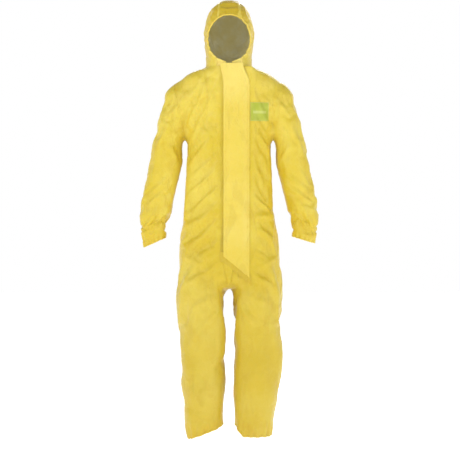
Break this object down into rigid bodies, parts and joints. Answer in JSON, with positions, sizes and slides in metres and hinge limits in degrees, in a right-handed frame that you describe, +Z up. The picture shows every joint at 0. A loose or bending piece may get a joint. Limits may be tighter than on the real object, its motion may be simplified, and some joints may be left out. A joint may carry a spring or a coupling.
{
  "type": "hooded protective coverall",
  "caption": "Hooded chemical protective coverall in yellow coated nonwoven, with a zip under a storm flap, taped seams and elasticated face, wrists, waist and ankles.",
  "frame": {"origin": "middle of the neckline, where the wearer's shoulders carry the suit", "axes": "+Z up along the zip and the wearer's height, -Y the way the suit faces, +X to the wearer's left"},
  "size_m": [0.742, 0.2581, 1.7795],
  "materials": {
    "coated_cloth": "yellow nonwoven with a thin film coating, low sheen, finely crumpled",
    "seam_tape": "welded film tape, smoother and a little shinier than the cloth",
    "elastic": "off-white covered elastic",
    "zip_tape": "woven zip tape dyed to match",
    "zip_coil": "moulded nylon coil",
    "zip_metal": "painted die-cast slider, tab and stops",
    "label_green": "printed label with no wording",
    "label_white": "woven size label with no wording",
    "adhesive": "double-sided tape behind its release paper"
  },
  "bodies": {
    "torso": {"left_front_panel": "coated_cloth", "left_back_panel": "coated_cloth", "right_front_panel": "coated_cloth", "right_back_panel": "coated_cloth", "left_side_seam_tape": "seam_tape", "right_side_seam_tape": "seam_tape", "left_shoulder_seam_tape": "seam_tape", "right_shoulder_seam_tape": "seam_tape", "centre_back_seam_tape": "seam_tape", "crotch_gusset": "coated_cloth", "waist_elastic": "elastic", "left_zip_tape": "zip_tape", "right_zip_tape": "zip_tape", "left_zip_coil": "zip_coil", "right_zip_coil": "zip_coil", "left_zip_top_stop": "zip_metal", "right_zip_top_stop": "zip_metal", "zip_bottom_stop": "zip_metal", "inner_zip_guard": "coated_cloth", "chest_label": "label_green", "size_label": "label_white", "left_collar": "coated_cloth", "right_collar": "coated_cloth"},
    "hood": {"hood_centre_panel": "coated_cloth", "hood_left_panel": "coated_cloth", "hood_right_panel": "coated_cloth", "hood_left_seam_tape": "seam_tape", "hood_right_seam_tape": "seam_tape", "face_hem": "coated_cloth"},
    "storm_flap": {"storm_flap": "coated_cloth", "flap_adhesive_tape": "adhesive"},
    "upper_slider": {"upper_zip_slider": "zip_metal"},
    "upper_tab": {"upper_pull_tab": "zip_metal"},
    "lower_slider": {"lower_zip_slider": "zip_metal"},
    "lower_tab": {"lower_pull_tab": "zip_metal"},
    "left_upper_sleeve": {"left_upper_sleeve": "coated_cloth"},
    "left_lower_sleeve": {"left_lower_sleeve": "coated_cloth", "left_cuff_hem": "coated_cloth", "left_wrist_elastic": "elastic"},
    "left_upper_leg": {"left_upper_leg": "coated_cloth"},
    "left_lower_leg": {"left_lower_leg": "coated_cloth", "left_ankle_hem": "coated_cloth", "left_ankle_elastic": "elastic"},
    "right_upper_sleeve": {"right_upper_sleeve": "coated_cloth"},
    "right_lower_sleeve": {"right_lower_sleeve": "coated_cloth", "right_cuff_hem": "coated_cloth", "right_wrist_elastic": "elastic"},
    "right_upper_leg": {"right_upper_leg": "coated_cloth"},
    "right_lower_leg": {"right_lower_leg": "coated_cloth", "right_ankle_hem": "coated_cloth", "right_ankle_elastic": "elastic"}
  },
  "joints": [
    {"name": "hood_push_back", "type": "hinge", "parent": "torso", "child": "hood", "pos_m": [0, 0.088, 0.002], "axis": [-1, 0, 0], "range_deg": [0, 110]},
    {"name": "storm_flap_open", "type": "hinge", "parent": "torso", "child": "storm_flap", "pos_m": [0.082, -0.1215, -0.85001], "axis": [0, 0.014, 0.9999], "range_deg": [0, 150]},
    {"name": "upper_slider_travel", "type": "slide", "parent": "torso", "child": "upper_slider", "axis": [0, 0.014, 0.9999], "range_m": [-0.79, 0]},
    {"name": "lower_slider_travel", "type": "slide", "parent": "torso", "child": "lower_slider", "axis": [0, 0.014, 0.9999], "range_m": [0, 0.79]},
    {"name": "upper_pull_tab_swing", "type": "hinge", "parent": "upper_slider", "child": "upper_tab", "pos_m": [0, -0.11351, -0.00495], "axis": [0, -0.9999, 0.014], "range_deg": [-40, 40]},
    {"name": "lower_pull_tab_swing", "type": "hinge", "parent": "lower_slider", "child": "lower_tab", "pos_m": [0, -0.12501, -0.82896], "axis": [0, -0.9999, 0.014], "range_deg": [-40, 40]},
    {"name": "left_shoulder_raise", "type": "hinge", "parent": "torso", "child": "left_upper_sleeve", "pos_m": [0.19, 0, -0.14], "axis": [0, -1, 0], "range_deg": [0, 85]},
    {"name": "left_elbow_bend", "type": "hinge", "parent": "left_upper_sleeve", "child": "left_lower_sleeve", "pos_m": [0.28, 0, -0.454], "axis": [-1, 0, 0], "range_deg": [0, 85]},
    {"name": "left_hip_swing", "type": "hinge", "parent": "torso", "child": "left_upper_leg", "pos_m": [0.116, 0, -0.903], "axis": [-1, 0, 0], "range_deg": [-20, 45]},
    {"name": "left_knee_bend", "type": "hinge", "parent": "left_upper_leg", "child": "left_lower_leg", "pos_m": [0.115, 0, -1.13], "axis": [1, 0, 0], "range_deg": [0, 85]},
    {"name": "right_shoulder_raise", "type": "hinge", "parent": "torso", "child": "right_upper_sleeve", "pos_m": [-0.19, 0, -0.14], "axis": [0, 1, 0], "range_deg": [0, 85]},
    {"name": "right_elbow_bend", "type": "hinge", "parent": "right_upper_sleeve", "child": "right_lower_sleeve", "pos_m": [-0.28, 0, -0.454], "axis": [-1, 0, 0], "range_deg": [0, 85]},
    {"name": "right_hip_swing", "type": "hinge", "parent": "torso", "child": "right_upper_leg", "pos_m": [-0.116, 0, -0.903], "axis": [-1, 0, 0], "range_deg": [-20, 45]},
    {"name": "right_knee_bend", "type": "hinge", "parent": "right_upper_leg", "child": "right_lower_leg", "pos_m": [-0.115, 0, -1.13], "axis": [1, 0, 0], "range_deg": [0, 85]}
  ]
}
